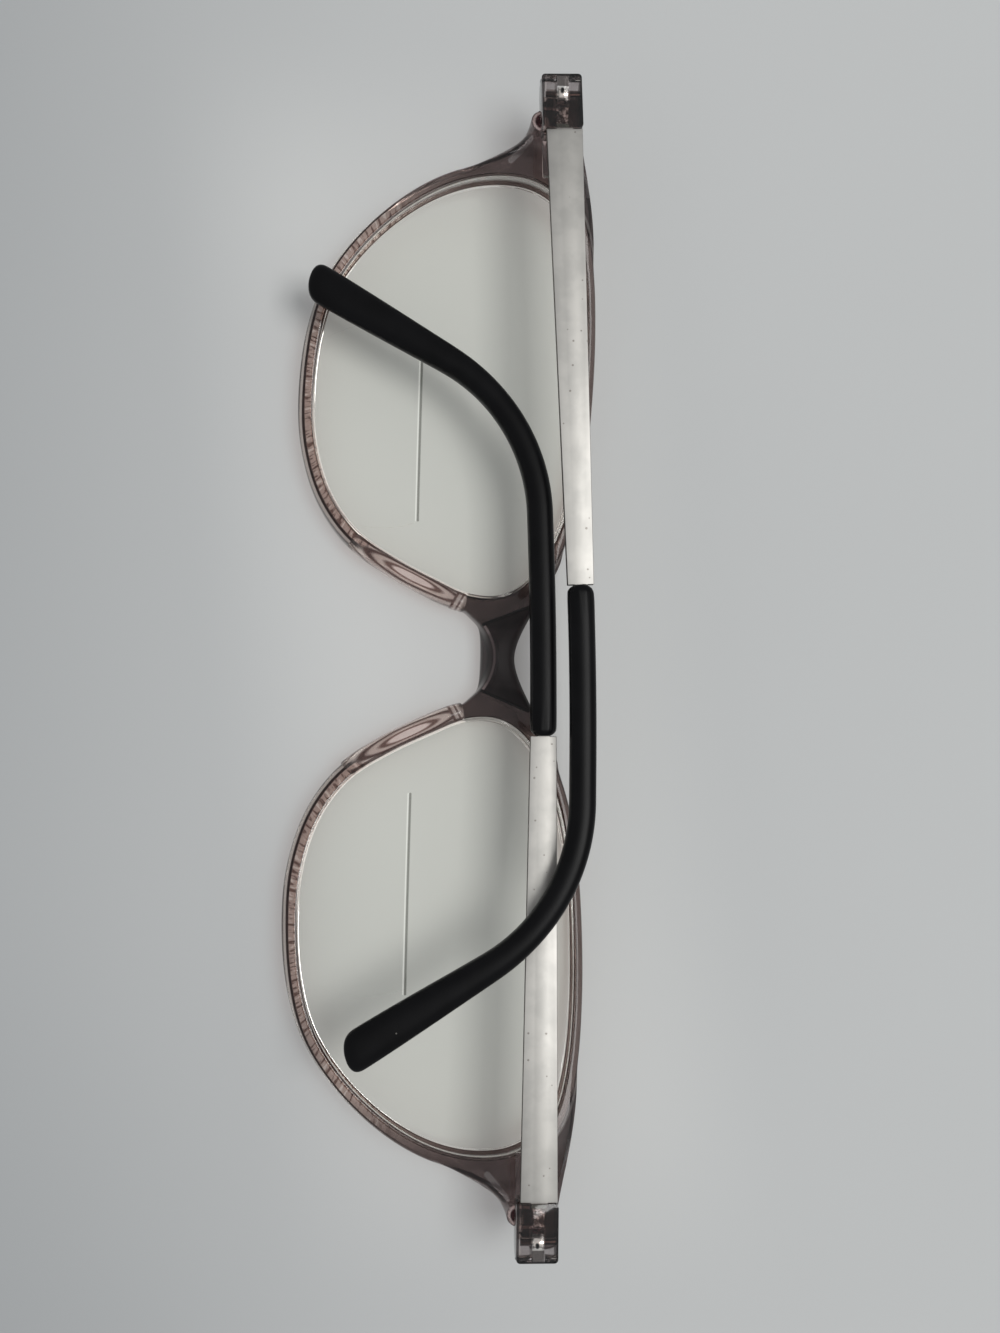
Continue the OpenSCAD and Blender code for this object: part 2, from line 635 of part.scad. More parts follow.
module tip_solid(end) {
    places = tip_places(end);
    n = len(places);
    walls = [for (i = [0:n - 2], s = [0:TIP_SIDES - 1])
        let(a = i * TIP_SIDES, b = a + TIP_SIDES, t = (s + 1) % TIP_SIDES)
        each quad(a + s, a + t, b + t, b + s)];
    ends = [[for (s = [TIP_SIDES - 1:-1:0]) s], [for (s = [0:TIP_SIDES - 1]) (n - 1) * TIP_SIDES + s]];
    polyhedron([for (s = places) each tip_ring(s, end)], concat(walls, ends), convexity = 6);
}
module tip_shape(end) {
    difference() {
        tip_solid(end);
        translate([-end - core_l - seat, -core_h / 2 - seat, strip_top - strip_t - seat])
            cube([core_l + 2 * tip_start, core_h + 2 * seat, strip_t + 2 * seat]);
    }
}
module temple_tip(left) {
    color([0.07, 0.07, 0.075])
        at_temple(left) tip_shape(strip_end(left));
}

front();
mirror([1, 0, 0]) lens();  // lens_left
lens();  // lens_right
mirror([1, 0, 0]) nose_pad();  // nose_pad_left
nose_pad();  // nose_pad_right
hinge_leaf(true);  // hinge_leaf_left
hinge_leaf(false);  // hinge_leaf_right
hinge_pin(true);  // hinge_pin_left
hinge_pin(false);  // hinge_pin_right
hinge_block(true);  // hinge_block_left
hinge_block(false);  // hinge_block_right
temple_strip(true);  // temple_strip_left
temple_strip(false);  // temple_strip_right
temple_tip(true);  // temple_tip_left
temple_tip(false);  // temple_tip_right
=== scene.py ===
import math

import bmesh
import bpy
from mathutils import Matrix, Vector, geometry


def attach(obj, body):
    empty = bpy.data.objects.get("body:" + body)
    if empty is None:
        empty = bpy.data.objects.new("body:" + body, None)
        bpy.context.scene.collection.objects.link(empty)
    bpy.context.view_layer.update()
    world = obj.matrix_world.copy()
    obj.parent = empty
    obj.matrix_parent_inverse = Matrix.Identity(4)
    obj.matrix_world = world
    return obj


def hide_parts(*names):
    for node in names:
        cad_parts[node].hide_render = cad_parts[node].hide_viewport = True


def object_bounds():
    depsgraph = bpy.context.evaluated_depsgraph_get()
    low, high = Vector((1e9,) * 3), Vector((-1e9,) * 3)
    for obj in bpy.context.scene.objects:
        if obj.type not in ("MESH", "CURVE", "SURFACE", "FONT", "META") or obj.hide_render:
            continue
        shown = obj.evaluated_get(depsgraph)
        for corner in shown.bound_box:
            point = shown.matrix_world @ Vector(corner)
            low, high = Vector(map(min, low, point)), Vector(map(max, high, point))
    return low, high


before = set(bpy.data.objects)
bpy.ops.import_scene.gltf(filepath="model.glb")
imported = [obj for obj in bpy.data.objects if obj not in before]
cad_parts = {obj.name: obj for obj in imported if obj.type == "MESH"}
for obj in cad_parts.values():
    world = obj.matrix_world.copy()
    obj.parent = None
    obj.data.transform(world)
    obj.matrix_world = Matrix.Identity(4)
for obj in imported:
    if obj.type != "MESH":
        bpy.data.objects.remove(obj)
CAD_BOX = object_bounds()

MM = 0.001
MERGE_GAP = 0.002 * MM
SHORTEST_SIDE = 0.01 * MM

# The photograph's camera: it looks down on the folded eyeglasses from the wearer's side, with the brow
# to the right of the picture and the wearer's left at its top
CAMERA_PLACE = Vector((12.232, -12.171, 184.687)) * MM
CAMERA_TURN = (3.391, -6.188, 91.359)
CAMERA_LENS = 40.71
CAMERA_LONG_SIDE = 36.0
CAMERA_NEAREST = 0.001

SIDES = ("left", "right")
TEMPLE_OF = {"left": "temple_left", "right": "temple_right"}


# Meshes

def merged_copy(node):
    """A bmesh of a CAD node with its loose triangles joined at their corners."""
    bm = bmesh.new()
    bm.from_mesh(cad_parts[node].data)
    bmesh.ops.remove_doubles(bm, verts=bm.verts, dist=MERGE_GAP)
    bmesh.ops.recalc_face_normals(bm, faces=bm.faces)
    return bm


def join_flat_faces(bm, angle=1.0):
    """Takes out the edges that lie inside flat faces."""
    bmesh.ops.dissolve_limit(
        bm, angle_limit=math.radians(angle), verts=bm.verts, edges=bm.edges, use_dissolve_boundaries=False
    )


def join_triangles(bm, flat=60.0, shape=70.0):
    """Pairs triangles into four-sided faces, which subdivide smoothly."""
    bmesh.ops.join_triangles(
        bm,
        faces=bm.faces,
        angle_face_threshold=math.radians(flat),
        angle_shape_threshold=math.radians(shape),
    )


def sharp_edges(bm, angle):
    """The edges whose faces turn by more than that angle, in degrees."""
    return [e for e in bm.edges if len(e.link_faces) == 2 and e.calc_face_angle(0.0) > math.radians(angle)]


def crease_edges(bm, angle, amount):
    """Keeps the sharp edges sharp when the mesh is subdivided."""
    layer = bm.edges.layers.float.get("crease_edge") or bm.edges.layers.float.new("crease_edge")
    for edge in sharp_edges(bm, angle):
        edge[layer] = amount


def bevel_edges(bm, angle, width, segments=3):
    """Rounds the sharp edges."""
    bmesh.ops.bevel(
        bm,
        geom=sharp_edges(bm, angle),
        offset=width,
        offset_type="OFFSET",
        affect="EDGES",
        segments=segments,
        profile=0.5,
        material=-1,
        clamp_overlap=True,
    )


def lens_sides(side):
    """The straight sides of a lens's outline seen from above: a corner of each and the way out from it."""
    points = [v.co.to_2d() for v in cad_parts[f"lens_{side}"].data.vertices]
    outline = [points[i] for i in geometry.convex_hull_2d(points)]
    middle = sum(outline, Vector((0, 0))) / len(outline)
    sides = []
    for corner, following in zip(outline, outline[1:] + outline[:1]):
        along = following - corner
        if along.length < SHORTEST_SIDE:
            continue
        out = Vector((along.y, -along.x)).normalized()
        sides.append((corner, out if out.dot(corner - middle) > 0 else -out))
    return sides


def note_lens_distance(bm, sides):
    """Notes at each corner of a mesh how many millimetres it lies beyond the nearer lens."""
    layer = bm.verts.layers.float.new("beyond_lens")
    for vert in bm.verts:
        place = vert.co.to_2d()
        vert[layer] = min(max((place - a).dot(out) for a, out in one) for one in sides) / MM


def new_piece(name, bm, body, material, stands_for, smooth_angle, levels=0):
    """Makes the piece, which rides on its body and takes its finish from its slot.

    Edges whose faces turn by more than the smooth angle, in degrees, stay sharp in the shading.
    """
    for face in bm.faces:
        face.smooth = True
    for edge in sharp_edges(bm, smooth_angle):
        edge.smooth = False
    mesh = bpy.data.meshes.new(name)
    bm.to_mesh(mesh)
    bm.free()
    piece = bpy.data.objects.new(name, mesh)
    bpy.context.scene.collection.objects.link(piece)
    mesh.materials.append(material)
    if levels:
        subdivision = piece.modifiers.new("smooth", "SUBSURF")
        subdivision.levels = subdivision.render_levels = levels
        subdivision.boundary_smooth = "PRESERVE_CORNERS"
    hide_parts(*stands_for)
    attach(piece, body)
    return piece


# Shader building

def add(tree, kind, inputs=None, **settings):
    """A node of that kind. An input is a number, a colour or another node's output."""
    node = tree.nodes.new(kind)
    for key, value in settings.items():
        setattr(node, key, value)
    for key, value in (inputs or {}).items():
        socket = node.inputs[key]
        if isinstance(value, bpy.types.NodeSocket):
            tree.links.new(value, socket)
        else:
            socket.default_value = value
    return node


def maths(tree, operation, a, b=0.0):
    return add(tree, "ShaderNodeMath", {0: a, 1: b}, operation=operation).outputs[0]


def plus(tree, a, b):
    return maths(tree, "ADD", a, b)


def minus(tree, a, b):
    return maths(tree, "SUBTRACT", a, b)


def times(tree, a, b):
    return maths(tree, "MULTIPLY", a, b)


def size_of(tree, value):
    return maths(tree, "ABSOLUTE", value)


def both(tree, a, b):
    """The mask of where two masks hold together."""
    return times(tree, a, b)


def either(tree, a, b):
    """The mask of where at least one of two masks holds."""
    return maths(tree, "MAXIMUM", a, b)


def opposite(tree, mask):
    return minus(tree, 1.0, mask)


def vector(tree, **parts):
    """A vector of the parts X, Y and Z that are given."""
    return add(tree, "ShaderNodeCombineXYZ", parts).outputs[0]


def length(tree, given):
    return add(tree, "ShaderNodeVectorMath", {0: given}, operation="LENGTH").outputs["Value"]


def vector_maths(tree, operation, a, b, output="Vector"):
    return add(tree, "ShaderNodeVectorMath", {0: a, 1: b}, operation=operation).outputs[output]


def mix_colours(tree, share, a, b):
    return add(tree, "ShaderNodeMix", {0: share, 6: a, 7: b}, data_type="RGBA").outputs[2]


def multiply_colours(tree, a, b):
    return add(tree, "ShaderNodeMix", {0: 1.0, 6: a, 7: b}, data_type="RGBA", blend_type="MULTIPLY").outputs[2]


def rise(tree, value, low, high):
    """0 below low, 1 above high, and a smooth step between."""
    return add(
        tree,
        "ShaderNodeMapRange",
        {"Value": value, "From Min": low, "From Max": high},
        interpolation_type="SMOOTHSTEP",
    ).outputs[0]


def below(tree, value, low, high):
    """1 below low, 0 above high, and a smooth step between."""
    return opposite(tree, rise(tree, value, low, high))


def noise(tree, place, scale, detail=3.0, roughness=0.55):
    return add(
        tree,
        "ShaderNodeTexNoise",
        {"Vector": place, "Scale": scale, "Detail": detail, "Roughness": roughness},
    ).outputs["Fac"]


def line(tree, start, end, width):
    """The mask of a line on both halves, its places and width given in millimetres."""
    places = {"From": Vector((*start, 0)) * MM, "To": Vector((*end, 0)) * MM}
    return use_group(tree, LINE, {**places, "Width": width * MM}).outputs["Mask"]


def object_place(tree):
    return add(tree, "ShaderNodeTexCoord").outputs["Object"]


def place_parts(tree):
    """The X, Y and Z of a place on the part."""
    return add(tree, "ShaderNodeSeparateXYZ", {0: object_place(tree)}).outputs


def facing_up(tree):
    """How squarely the surface faces up or down while the piece lies in its rest place."""
    normal = add(tree, "ShaderNodeSeparateXYZ", {0: add(tree, "ShaderNodeTexCoord").outputs["Normal"]})
    return size_of(tree, normal.outputs["Z"])


def leaving(tree):
    """1 where the eye's ray leaves a piece, 0 where it enters."""
    return add(tree, "ShaderNodeNewGeometry").outputs["Backfacing"]


def beyond_lens(tree):
    """How many millimetres a place lies beyond the nearer lens, seen from above."""
    return add(tree, "ShaderNodeAttribute", attribute_name="beyond_lens").outputs["Fac"]


def ramp(tree, value, stops):
    """A colour that follows a value. Each stop is a value and its colour."""
    low, high = stops[0][0], stops[-1][0]
    share = add(tree, "ShaderNodeMapRange", {"Value": value, "From Min": low, "From Max": high}).outputs[0]
    made = add(tree, "ShaderNodeValToRGB", {0: share})
    points = made.color_ramp.elements
    points[1].position = 1.0
    points[1].color = stops[-1][1] + (1,)
    points[0].position = 0.0
    points[0].color = stops[0][1] + (1,)
    for at, colour in stops[1:-1]:
        points.new((at - low) / (high - low)).color = colour + (1,)
    return made.outputs[0]


def new_group(name, inputs, outputs):
    """An empty shader group with those named sockets, and its two end nodes."""
    group = bpy.data.node_groups.new(name, "ShaderNodeTree")
    for socket, (kind, value) in inputs.items():
        made = group.interface.new_socket(name=socket, in_out="INPUT", socket_type=kind)
        made.default_value = value
    for socket, kind in outputs.items():
        group.interface.new_socket(name=socket, in_out="OUTPUT", socket_type=kind)
    return group, group.nodes.new("NodeGroupInput"), group.nodes.new("NodeGroupOutput")


def use_group(tree, group, inputs):
    return add(tree, "ShaderNodeGroup", inputs, node_tree=group)


# Shared effects

def make_specks():
    """Small round specks, dust or pits, each on its own cell of a grid of points."""
    group, given, made = new_group(
        "specks",
        {
            "Scale": ("NodeSocketFloat", 900.0),
            "Size": ("NodeSocketFloat", 0.2),
            "Share": ("NodeSocketFloat", 0.2),
        },
        {"Mask": "NodeSocketFloat"},
    )
    place = object_place(group)
    cells = add(group, "ShaderNodeTexVoronoi", {"Vector": place, "Scale": given.outputs["Scale"]})
    pick = add(group, "ShaderNodeSeparateColor", {0: cells.outputs["Color"]}).outputs[0]
    chosen = maths(group, "LESS_THAN", pick, given.outputs["Share"])
    size = times(group, given.outputs["Size"], plus(group, pick, 0.6))
    near = maths(group, "LESS_THAN", cells.outputs["Distance"], size)
    group.links.new(both(group, chosen, near), made.inputs["Mask"])
    return group


def make_mottle():
    """A slow, cloudy change between two colours."""
    group, given, made = new_group(
        "mottle",
        {
            "Colour": ("NodeSocketColor", (0.5, 0.5, 0.5, 1.0)),
            "Other": ("NodeSocketColor", (0.5, 0.5, 0.5, 1.0)),
            "Scale": ("NodeSocketFloat", 120.0),
        },
        {"Colour": "NodeSocketColor"},
    )
    cloud = noise(group, object_place(group), given.outputs["Scale"], 3.0)
    share = rise(group, cloud, 0.36, 0.64)
    colour = mix_colours(group, share, given.outputs["Colour"], given.outputs["Other"])
    group.links.new(colour, made.inputs["Colour"])
    return group


def make_rubbed():
    """Fine handling marks: short streaks that change the gloss, and their height."""
    group, given, made = new_group(
        "rubbed",
        {
            "Scale": ("NodeSocketFloat", 300.0),
            "Low": ("NodeSocketFloat", 0.2),
            "High": ("NodeSocketFloat", 0.3),
        },
        {"Roughness": "NodeSocketFloat", "Height": "NodeSocketFloat"},
    )
    stretched = vector_maths(group, "MULTIPLY", object_place(group), Vector((0.25, 1.0, 1.0)))
    streaks = noise(group, stretched, given.outputs["Scale"], 5.0, 0.65)
    span = minus(group, given.outputs["High"], given.outputs["Low"])
    gloss = plus(group, given.outputs["Low"], times(group, streaks, span))
    group.links.new(gloss, made.inputs["Roughness"])
    group.links.new(streaks, made.inputs["Height"])
    return group


def make_line():
    """A line with soft sides between two places seen from above, the same on both halves of the part."""
    group, given, made = new_group(
        "line",
        {
            "From": ("NodeSocketVector", (0.0, 0.0, 0.0)),
            "To": ("NodeSocketVector", (0.0, 0.0, 0.0)),
            "Width": ("NodeSocketFloat", 0.0002),
        },
        {"Mask": "NodeSocketFloat"},
    )
    part = place_parts(group)
    place = vector(group, X=size_of(group, part["X"]), Y=part["Y"])
    start = given.outputs["From"]
    way = vector_maths(group, "SUBTRACT", given.outputs["To"], start)
    reach = vector_maths(group, "SUBTRACT", place, start)
    share = maths(
        group,
        "DIVIDE",
        vector_maths(group, "DOT_PRODUCT", reach, way, "Value"),
        vector_maths(group, "DOT_PRODUCT", way, way, "Value"),
    )
    share = maths(group, "MINIMUM", maths(group, "MAXIMUM", share, 0.0), 1.0)
    nearest = vector_maths(group, "MULTIPLY", way, vector(group, X=share, Y=share, Z=share))
    gap = vector_maths(group, "DISTANCE", reach, nearest, "Value")
    half = times(group, given.outputs["Width"], 0.5)
    mask = below(group, gap, times(group, half, 0.5), half)
    group.links.new(mask, made.inputs["Mask"])
    return group


SPECKS = make_specks()
LINE = make_line()
MOTTLE = make_mottle()
RUBBED = make_rubbed()


# Materials

# Places on the part in millimetres: from the middle out, and up to the brow
LENS_MIDDLE = (33.0, -1.0)
SEGMENT_LINE = ((16.6, -3.25), (40.4, -3.25))
PAD_ENDS = ((5.6, 2.6), (12.6, -10.2))
BRIDGE_CREASE_SHADE = ((6.3, 10.6), (4.0, 5.0))
POST_ROUND = (64.35, 10.15)
FACET = ((60.6, 6.8), (63.0, 9.1))
FACET_FOOT = (61.9, 8.0)
EDGE_LIGHT = ((57.5, -1.6), (60.2, 2.2), (61.0, 4.5), (62.0, 6.7), (63.7, 8.4))
EDGE_DARK = ((57.1, -1.2), (59.8, 2.55), (60.6, 4.85), (61.6, 7.0), (63.3, 8.7))
PALE_EDGE_HIGHLIGHT = ((58.8, 10.9), (64.2, 10.65))
BLOCK_MIDDLE = 12.0
BLOCK_WINDOW = ((62.35, 11.35), (62.35, 12.65))
BLOCK_EDGE_HIGHLIGHT = ((61.9, 9.95), (67.9, 9.95))
HOOK_HOLE = ((66.6, 11.95), (66.75, 11.95))

# Colours across a clear rim, by the millimetres beyond the lens: its lip, the dark line of the groove,
# the band over the lens's edge, the black line behind it and the round outer wall. The dark lines and the
# pale line on the round wall are painted shade and a painted highlight that stand in for the rim's refraction
RIM_COLOURS_AND_PAINTED_LIGHT = [
    (-0.60, (1.0, 0.98, 0.96)),
    (-0.46, (1.0, 0.95, 0.92)),
    (-0.42, (0.09, 0.05, 0.045)),
    (-0.33, (0.12, 0.07, 0.065)),
    (-0.26, (0.70, 0.56, 0.51)),
    (0.66, (0.62, 0.49, 0.45)),
    (0.74, (0.035, 0.02, 0.018)),
    (0.92, (0.05, 0.03, 0.028)),
    (1.00, (0.74, 0.71, 0.69)),
    (1.22, (0.66, 0.63, 0.61)),
    (1.32, (0.08, 0.07, 0.07)),
    (1.60, (0.14, 0.13, 0.13)),
]
# On the nose half the lip is seen from above, so the lines there lie this much further out
NOSE_HALF_SHIFT = 0.16

# Colours of the bridge's middle faces, by the millimetres from the middle of their curve; the pale band
# from 6.36 to 6.50 mm is a painted highlight along the curve
BRIDGE_COLOURS_AND_HIGHLIGHT = [
    (4.2, (0.10, 0.085, 0.085)),
    (4.9, (0.065, 0.050, 0.050)),
    (5.5, (0.045, 0.030, 0.032)),
    (5.75, (0.008, 0.005, 0.005)),
    (6.05, (0.045, 0.030, 0.030)),
    (6.25, (0.045, 0.030, 0.030)),
    (6.36, (0.34, 0.28, 0.28)),
    (6.50, (0.34, 0.28, 0.28)),
    (6.62, (0.025, 0.016, 0.017)),
    (9.00, (0.024, 0.016, 0.017)),
]
BRIDGE_CURVE_MIDDLE = -0.05

# Colours of the rings in a nose pad, from its middle out, in half pad lengths and in millimetres across;
# its dark rings are painted shade of the hollow underside's refraction
PAD_RINGS = [
    (0.00, (1.0, 0.95, 0.94)),
    (0.34, (1.0, 0.92, 0.91)),
    (0.42, (0.30, 0.20, 0.18)),
    (0.50, (0.26, 0.17, 0.15)),
    (0.60, (0.92, 0.84, 0.81)),
    (0.72, (0.86, 0.78, 0.75)),
    (0.82, (0.15, 0.09, 0.085)),
    (0.92, (0.18, 0.12, 0.11)),
    (1.04, (1.0, 0.97, 0.95)),
    (1.18, (0.95, 0.92, 0.90)),
    (1.28, (0.20, 0.16, 0.155)),
    (1.38, (0.85, 0.83, 0.82)),
    (1.70, (0.90, 0.88, 0.87)),
]
PAD_MIDDLE_BEYOND = 0.85

# Colours of a nose pad's square end at the bridge, by the millimetres from the end
PAD_END_COLOURS = [
    (0.50, (0.50, 0.45, 0.43)),
    (0.80, (0.78, 0.72, 0.70)),
    (0.90, (0.22, 0.16, 0.15)),
    (1.05, (0.26, 0.19, 0.18)),
    (1.15, (0.74, 0.68, 0.66)),
    (1.45, (0.64, 0.57, 0.55)),
    (1.58, (0.20, 0.13, 0.12)),
    (1.85, (0.20, 0.13, 0.12)),
]
BLACK = (0, 0, 0, 1)
WHITE = (1, 1, 1, 1)


def new_material(name):
    material = bpy.data.materials.new(name)
    material.use_nodes = True
    tree = material.node_tree
    tree.nodes.clear()
    shader = tree.nodes.new("ShaderNodeBsdfPrincipled")
    output = tree.nodes.new("ShaderNodeOutputMaterial")
    tree.links.new(shader.outputs[0], output.inputs["Surface"])
    return material, tree, shader, output


def set_shader(shader, **values):
    for key, value in values.items():
        shader.inputs[key.replace("_", " ")].default_value = value


def join(tree, value, shader, socket):
    tree.links.new(value, shader.inputs[socket])


def bump(tree, shader, height, depth):
    """Raises the surface by its height map. The depth is in millimetres."""
    made = add(tree, "ShaderNodeBump", {"Distance": depth * MM, "Height": height})
    join(tree, made.outputs[0], shader, "Normal")


def mottled(tree, colour, other, scale):
    """A cloudy mix of two colours."""
    given = {"Colour": (*colour, 1), "Other": (*other, 1), "Scale": scale}
    return use_group(tree, MOTTLE, given).outputs["Colour"]


def rubbed(tree, scale, low, high):
    """The roughness, between low and high, and the height of fine handling marks."""
    marks = use_group(tree, RUBBED, {"Scale": scale, "Low": low, "High": high}).outputs
    return marks["Roughness"], marks["Height"]


def let_lamps_through(tree, shader, output, tint, coated=None):
    """Light that isn't on its way to the eye passes straight through clear plastic, tinted.

    The coated faces let what is on its way to the eye straight through too.
    """
    path = add(tree, "ShaderNodeLightPath").outputs
    passing = either(tree, path["Is Shadow Ray"], path["Is Diffuse Ray"])
    if coated is not None:
        passing = either(tree, passing, coated)
    straight = add(tree, "ShaderNodeBsdfTransparent", {0: tint})
    mixed = add(tree, "ShaderNodeMixShader", {0: passing, 1: shader.outputs[0], 2: straight.outputs[0]})
    tree.links.new(mixed.outputs[0], output.inputs["Surface"])


def seen_once(tree, colour, alone):
    """Strengthens a colour where the eye's ray enters clear plastic and weakens it where the ray leaves.

    What is drawn on the plastic is then not seen a second time through it. The share says how fully.
    The ray is tinted at both places, so that their two powers add up to 2.
    """
    weak = minus(tree, 0.5, times(tree, alone, 0.5))
    strong = minus(tree, 2.0, weak)
    power = add(tree, "ShaderNodeMix", {0: leaving(tree), 2: strong, 3: weak}).outputs[0]
    return add(tree, "ShaderNodeGamma", {"Color": colour, "Gamma": power}).outputs[0]


def below_pad_end(tree, across, along):
    """How many millimetres a place lies below the end of a nose pad at the bridge, along the pad."""
    (x0, y0), (x1, y1) = PAD_ENDS
    pad_length = math.dist(*PAD_ENDS)
    sideways = times(tree, minus(tree, across, x0 * MM), (x1 - x0) / pad_length / MM)
    down = times(tree, minus(tree, along, y0 * MM), (y1 - y0) / pad_length / MM)
    return plus(tree, sideways, down)


def clear_rim_colour(tree, part, across, beyond):
    """The light and dark lines that the rim's round back, its groove and the lens in it make, painted into its
    colour as highlights and shade.
    """
    along = part["Y"]
    colour = ramp(tree, beyond, RIM_COLOURS_AND_PAINTED_LIGHT)
    middle_x, middle_y = LENS_MIDDLE
    turn = maths(tree, "ARCTAN2", minus(tree, along, middle_y * MM), minus(tree, across, middle_x * MM))
    round_rim = vector(
        tree,
        X=times(tree, turn, 25 * MM),
        Y=times(tree, beyond, 0.25 * MM),
        Z=maths(tree, "SIGN", part["X"]),
    )
    ticks = noise(tree, round_rim, 1300.0, 2.5, 0.6)
    past_groove = rise(tree, beyond, -0.34, -0.26)
    band = both(tree, past_groove, below(tree, beyond, 0.64, 0.74))
    foot = both(tree, band, below(tree, along, -8 * MM, -2 * MM))
    dark_ticks = both(tree, foot, below(tree, ticks, 0.40, 0.50))
    colour = mix_colours(tree, times(tree, dark_ticks, 0.85), colour, (0.16, 0.08, 0.065, 1))
    pale_ticks = both(tree, foot, rise(tree, ticks, 0.56, 0.64))
    colour = mix_colours(tree, times(tree, pale_ticks, 0.8), colour, (1.0, 0.90, 0.85, 1))
    under_pad = both(tree, below(tree, across, 12.4 * MM, 13.2 * MM), below(tree, along, 3 * MM, 4 * MM))
    return mix_colours(tree, both(tree, under_pad, past_groove), colour, (1.0, 0.98, 0.97, 1))


def end_piece_marks(tree, colour, part, across, beyond):
    """Draws the dark round end of the hinge's post, the painted highlight round it, and the end piece's edges
    and facet with painted highlights and shade.
    """
    along = part["Y"]
    round_x, round_y = POST_ROUND
    under = maths(tree, "MINIMUM", minus(tree, along, round_y * MM), 0.0)
    reach = length(tree, vector(tree, X=minus(tree, across, round_x * MM), Y=under))
    top = both(tree, rise(tree, part["Z"], 8.4 * MM, 8.8 * MM), below(tree, along, 12.5 * MM, 13 * MM))
    post = both(tree, top, below(tree, reach, 0.78 * MM, 0.9 * MM))
    colour = mix_colours(tree, post, colour, (0.03, 0.006, 0.008, 1))
    # Painted highlight: a pale pink ring round the post's dark end
    ring = both(tree, rise(tree, reach, 0.85 * MM, 0.95 * MM), below(tree, reach, 1.15 * MM, 1.25 * MM))
    colour = mix_colours(tree, both(tree, top, ring), colour, (0.90, 0.70, 0.68, 1))
    # The light and the dark line along the end piece's edge are a painted highlight and painted shade of its
    # rounded edge
    clear_of_lens = rise(tree, beyond, 0.9, 1.1)
    light = (EDGE_LIGHT, 0.36, (0.36, 0.33, 0.33, 1))
    dark = (EDGE_DARK, 0.60, (0.035, 0.026, 0.026, 1))
    for corners, width, edge_colour in (light, dark):
        for corner, following in zip(corners, corners[1:]):
            edge = both(tree, clear_of_lens, line(tree, corner, following, width))
            colour = mix_colours(tree, edge, colour, edge_colour)
    # Painted highlight: the facet is drawn lighter than the dark plastic round it
    facet = either(tree, line(tree, *FACET, 0.6), line(tree, FACET[0], FACET_FOOT, 0.95))
    colour = mix_colours(tree, times(tree, facet, 0.62), colour, (0.42, 0.39, 0.39, 1))
    # Painted highlight: a pale line along the edge, on one half only
    edge_highlight = both(tree, line(tree, *PALE_EDGE_HIGHLIGHT, 0.5), below(tree, part["X"], -MM, MM))
    return mix_colours(tree, edge_highlight, colour, (1.0, 0.86, 0.83, 1))


def front_plastic():
    """Clear taupe plastic, which goes over to a dark brown at the brow, the bridge and the end pieces."""
    material, tree, shader, output = new_material("front_plastic")
    part = place_parts(tree)
    along = part["Y"]
    across = size_of(tree, part["X"])
    nose_half = below(tree, across, 22 * MM, 38 * MM)
    beyond = minus(tree, beyond_lens(tree), times(tree, nose_half, NOSE_HALF_SHIFT))

    ends = rise(tree, across, 50 * MM, 60 * MM)
    above_pad = below(tree, below_pad_end(tree, across, along), 0.35, 0.65)
    bridge = both(tree, below(tree, across, 8 * MM, 12 * MM), above_pad)
    brow = times(tree, rise(tree, along, 6 * MM, 13 * MM), 0.75)
    dark = either(tree, either(tree, ends, bridge), brow)
    brown = mottled(tree, (0.115, 0.088, 0.086), (0.092, 0.070, 0.068), 240.0)
    brown = multiply_colours(tree, brown, mix_colours(tree, ends, WHITE, (1.36, 1.32, 1.32, 1)))
    colour = mix_colours(tree, dark, clear_rim_colour(tree, part, across, beyond), brown)
    lip = below(tree, beyond, -0.46, -0.42)
    colour = mix_colours(tree, lip, colour, (1.0, 0.98, 0.96, 1))

    # Middle of the bridge: its faces meet in a curve towards the nose and in a crease at each side, with a
    # painted highlight along the curve and painted shade in the creases
    middle = vector(tree, X=across, Y=minus(tree, along, BRIDGE_CURVE_MIDDLE * MM))
    bow = maths(tree, "DIVIDE", length(tree, middle), MM)
    side = minus(tree, across, times(tree, along, 0.404))
    inside = both(tree, below(tree, side, 1.9 * MM, 2.1 * MM), rise(tree, along, 0.4 * MM, 1.6 * MM))
    colour = mix_colours(tree, inside, colour, ramp(tree, bow, BRIDGE_COLOURS_AND_HIGHLIGHT))
    # Painted shade: a near-black line along each crease of the bridge
    colour = mix_colours(tree, line(tree, *BRIDGE_CREASE_SHADE, 0.55), colour, (0.008, 0.005, 0.005, 1))

    colour = end_piece_marks(tree, colour, part, across, beyond)
    join(tree, seen_once(tree, colour, below(tree, beyond, 3.0, 4.0)), shader, "Base Color")
    roughness, height = rubbed(tree, 500.0, 0.02, 0.10)
    brow_edge = both(tree, rise(tree, along, 9 * MM, 11 * MM), rise(tree, beyond, 0.9, 1.2))
    dull = either(tree, brow_edge, both(tree, inside, rise(tree, bow, 6.5, 6.8)))
    join(tree, plus(tree, roughness, times(tree, dull, 0.52)), shader, "Roughness")
    bump(tree, shader, height, 0.004)
    # Painted highlight: the lip glows faintly to stand for the white line of light at the rim's inner edge
    painted_gleam = both(tree, both(tree, lip, below(tree, dark, 0.0, 0.6)), either(tree, nose_half, 0.25))
    join(tree, mix_colours(tree, painted_gleam, BLACK, (0.26, 0.25, 0.24, 1)), shader, "Emission Color")
    set_shader(shader, Transmission_Weight=1.0, IOR=1.34, Emission_Strength=0.5)
    let_lamps_through(tree, shader, output, (0.86, 0.82, 0.81, 1))
    return material


